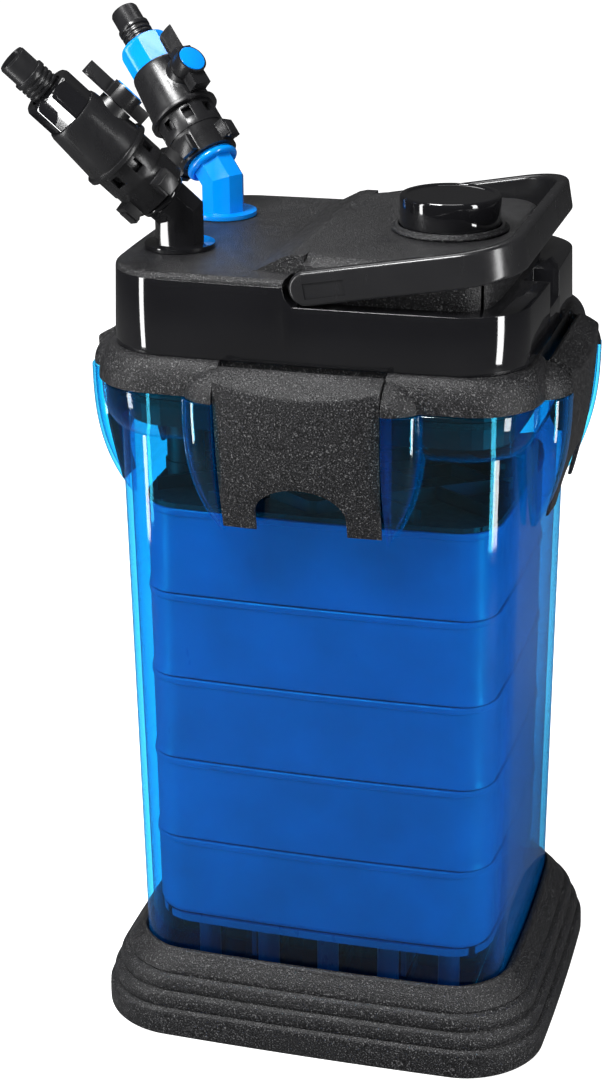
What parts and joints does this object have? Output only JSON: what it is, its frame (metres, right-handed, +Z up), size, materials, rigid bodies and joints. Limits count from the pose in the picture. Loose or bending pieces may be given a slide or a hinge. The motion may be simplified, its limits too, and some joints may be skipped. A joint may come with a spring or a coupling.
{
  "type": "external canister filter",
  "caption": "Upright aquarium canister filter: ribbed foot, clear blue media canister, pump head with primer and bail handle, over-centre clips and two angled hose valves.",
  "frame": {"origin": "centre of the underside of the base, on the surface that the filter stands on", "axes": "+Z up along the canister, +X towards the primer and the handle's grip, -Y towards the front"},
  "size_m": [0.3272, 0.248, 0.6196],
  "materials": {
    "clear_blue": "clear moulded plastic",
    "rubber": "matt",
    "dark_plastic": "satin",
    "grain_black": "grained",
    "sponge": "open cell foam",
    "ceramic": "unglazed",
    "carbon": "granular",
    "bio_plastic": "moulded",
    "floss": "fibre fleece",
    "gloss_black": "high gloss",
    "satin_black": "satin",
    "steel": "bright",
    "shaft_ceramic": "polished",
    "laminations": "lacquered",
    "copper": "enamelled wire",
    "magnet": "sintered",
    "impeller_plastic": "moulded",
    "sky_blue": "gloss",
    "ball_plastic": "smooth",
    "basket_blue": "moulded",
    "tap_black": "fine satin"
  },
  "bodies": {
    "filter": {"base_foot": "grain_black", "base_plate": "dark_plastic", "rubber_feet": "rubber", "canister": "clear_blue", "basket_stand": "dark_plastic", "basket_1": "basket_blue", "basket_2": "basket_blue", "basket_3": "basket_blue", "basket_4": "basket_blue", "basket_5": "basket_blue", "basket_lid": "dark_plastic", "coarse_sponge": "sponge", "ceramic_rings": "ceramic", "carbon_media": "carbon", "bio_media": "bio_plastic", "fine_pad": "floss", "intake_tube": "dark_plastic", "head_seal": "rubber", "head_base": "dark_plastic", "head_ring": "grain_black", "head_housing": "gloss_black", "head_cover": "grain_black", "cover_screws": "steel", "motor_stator": "laminations", "motor_coil": "copper", "impeller_shaft": "shaft_ceramic", "impeller_cover": "dark_plastic", "primer_cylinder": "dark_plastic", "primer_collar": "grain_black", "primer_spring": "steel", "check_valves": "rubber", "cable_gland": "dark_plastic", "clip_pins": "steel", "handle_pins": "steel"},
    "impeller": {"impeller_rotor": "magnet", "impeller_vanes": "impeller_plastic"},
    "primer": {"primer_button": "gloss_black"},
    "clip_front": {"clip_front": "grain_black"},
    "clip_right": {"clip_right": "grain_black"},
    "clip_back": {"clip_back": "grain_black"},
    "clip_left": {"clip_left": "grain_black"},
    "handle": {"handle": "satin_black"},
    "inlet_arm": {"inlet_elbow": "gloss_black", "inlet_seal": "rubber", "inlet_valve": "tap_black", "inlet_nozzle": "tap_black"},
    "inlet_collar": {"inlet_collar": "tap_black"},
    "inlet_lever": {"inlet_ball": "ball_plastic", "inlet_lever": "tap_black", "inlet_cap": "sky_blue"},
    "inlet_nut": {"inlet_nut": "gloss_black"},
    "outlet_arm": {"outlet_elbow": "sky_blue", "outlet_seal": "rubber", "outlet_valve": "tap_black", "outlet_nozzle": "tap_black"},
    "outlet_collar": {"outlet_collar": "tap_black"},
    "outlet_lever": {"outlet_ball": "ball_plastic", "outlet_lever": "tap_black", "outlet_cap": "sky_blue"},
    "outlet_nut": {"outlet_nut": "sky_blue"}
  },
  "joints": [
    {"name": "impeller_spin", "type": "hinge", "parent": "filter", "child": "impeller", "pos_m": [-0.035, 0, 0.44], "axis": [0, 0, 1], "continuous": true},
    {"name": "primer_press", "type": "slide", "parent": "filter", "child": "primer", "axis": [0, 0, -1], "range_m": [0, 0.018], "stiffness_N_per_m": 300, "springref_m": -0.005, "deforming": ["primer_spring"]},
    {"name": "clip_front_hinge", "type": "hinge", "parent": "filter", "child": "clip_front", "pos_m": [0, -0.1155, 0.4375], "axis": [-1, 0, 0], "range_deg": [0, 100]},
    {"name": "clip_right_hinge", "type": "hinge", "parent": "filter", "child": "clip_right", "pos_m": [0.1375, 0, 0.4375], "axis": [0, -1, 0], "range_deg": [0, 100]},
    {"name": "clip_back_hinge", "type": "hinge", "parent": "filter", "child": "clip_back", "pos_m": [0, 0.1155, 0.4375], "axis": [1, 0, 0], "range_deg": [0, 100]},
    {"name": "clip_left_hinge", "type": "hinge", "parent": "filter", "child": "clip_left", "pos_m": [-0.1375, 0, 0.4375], "axis": [0, 1, 0], "range_deg": [0, 100]},
    {"name": "handle_swing", "type": "hinge", "parent": "filter", "child": "handle", "pos_m": [0.0015, 0, 0.494], "axis": [0, -1, 0], "range_deg": [-9.5, 85]},
    {"name": "inlet_swivel", "type": "hinge", "parent": "filter", "child": "inlet_arm", "pos_m": [-0.093, -0.0425, 0.498], "axis": [0, 0, 1], "range_deg": [-30, 30]},
    {"name": "inlet_lock", "type": "hinge", "parent": "inlet_arm", "child": "inlet_collar", "pos_m": [-0.11137, -0.05311, 0.54071], "axis": [-0.6124, -0.3536, 0.7071], "range_deg": [0, 40]},
    {"name": "inlet_valve_turn", "type": "hinge", "parent": "inlet_arm", "child": "inlet_lever", "pos_m": [-0.13587, -0.06725, 0.569], "axis": [0.6124, 0.3536, 0.7071], "range_deg": [0, 90]},
    {"name": "inlet_nut_turn", "type": "hinge", "parent": "inlet_arm", "child": "inlet_nut", "pos_m": [-0.15179, -0.07644, 0.58738], "axis": [-0.6124, -0.3536, 0.7071], "continuous": true},
    {"name": "outlet_swivel", "type": "hinge", "parent": "filter", "child": "outlet_arm", "pos_m": [-0.093, 0.0425, 0.498], "axis": [0, 0, 1], "range_deg": [-30, 30]},
    {"name": "outlet_lock", "type": "hinge", "parent": "outlet_arm", "child": "outlet_collar", "pos_m": [-0.11099, 0.05374, 0.54071], "axis": [-0.5997, 0.3747, 0.7071], "range_deg": [0, 40]},
    {"name": "outlet_valve_turn", "type": "hinge", "parent": "outlet_arm", "child": "outlet_lever", "pos_m": [-0.13498, 0.06873, 0.569], "axis": [0.5997, -0.3747, 0.7071], "range_deg": [0, 90]},
    {"name": "outlet_nut_turn", "type": "hinge", "parent": "outlet_arm", "child": "outlet_nut", "pos_m": [-0.15057, 0.07847, 0.58738], "axis": [-0.5997, 0.3747, 0.7071], "continuous": true}
  ]
}
